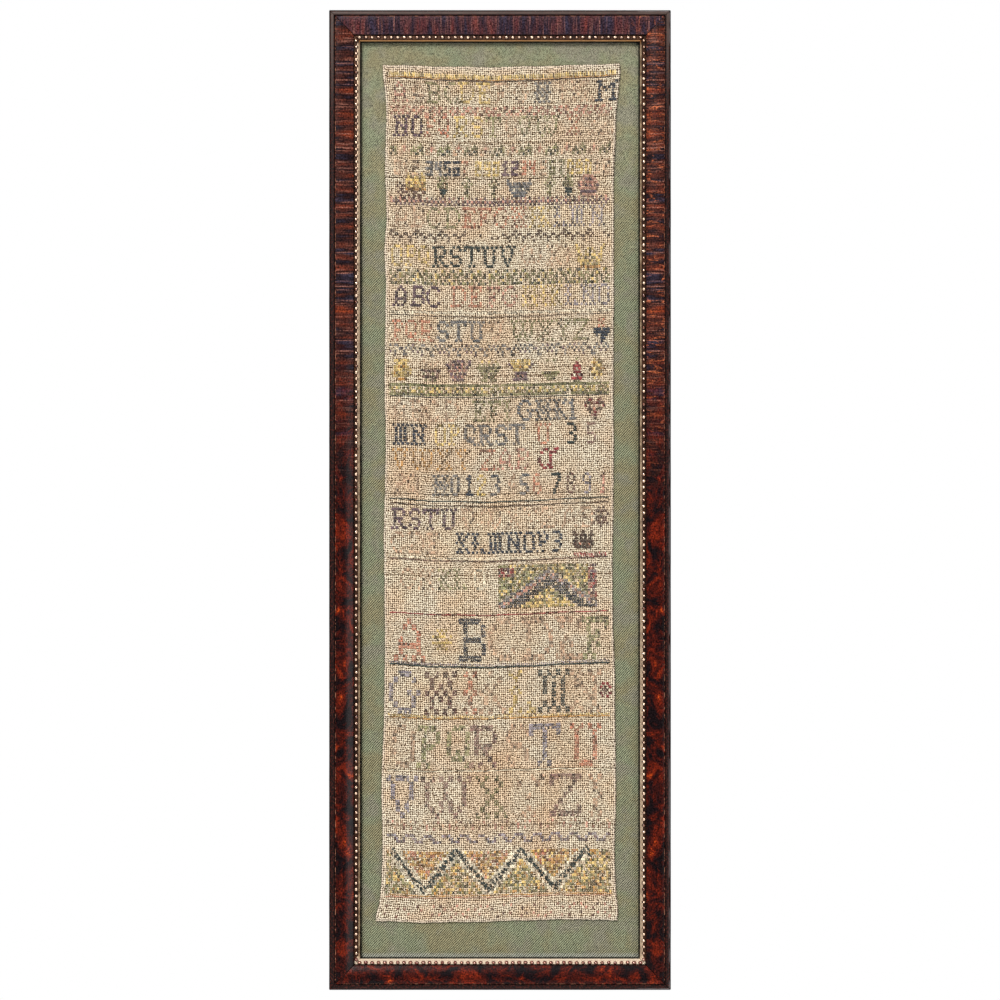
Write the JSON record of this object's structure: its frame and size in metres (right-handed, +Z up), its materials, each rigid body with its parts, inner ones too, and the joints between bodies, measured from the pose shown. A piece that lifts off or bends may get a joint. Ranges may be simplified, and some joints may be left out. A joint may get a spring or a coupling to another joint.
{
  "type": "cross stitch sampler in a glazed picture frame",
  "caption": "Long narrow linen band sampler in cross stitch, mounted on green cloth in a glazed dark frame with mitred rails, tortoiseshell bands and a gilt beaded slip.",
  "frame": {"origin": "middle of the back, in the plane that lies against the wall", "axes": "+Z up along the frame's height, +Y into the wall, +X to the viewer's right; the front faces -Y"},
  "size_m": [0.279, 0.0193, 0.8],
  "materials": {
    "ebonised_wood": "ebonised and polished, worn grey along the edges",
    "tortoiseshell": "polished tortoiseshell veneer over a red-brown ground",
    "aged_gilt": "gilded composition, dulled with age",
    "picture_glass": "clear plain glass",
    "sampler_cloth": "plain-weave linen, pinkish beige, faded",
    "green_cloth": "fine woven sage green cloth",
    "grey_card": "plain card",
    "plain_pine": "bare wood"
  },
  "bodies": {
    "root": {"rail_left": "ebonised_wood", "rail_right": "ebonised_wood", "rail_top": "ebonised_wood", "rail_bottom": "ebonised_wood", "band_left": "tortoiseshell", "band_right": "tortoiseshell", "band_top": "tortoiseshell", "band_bottom": "tortoiseshell", "slip_left": "aged_gilt", "slip_right": "aged_gilt", "slip_top": "aged_gilt", "slip_bottom": "aged_gilt", "glazing": "picture_glass", "sampler_linen": "sampler_cloth", "mount_cloth": "green_cloth", "mount_board": "grey_card", "backboard": "plain_pine"}
  },
  "joints": []
}
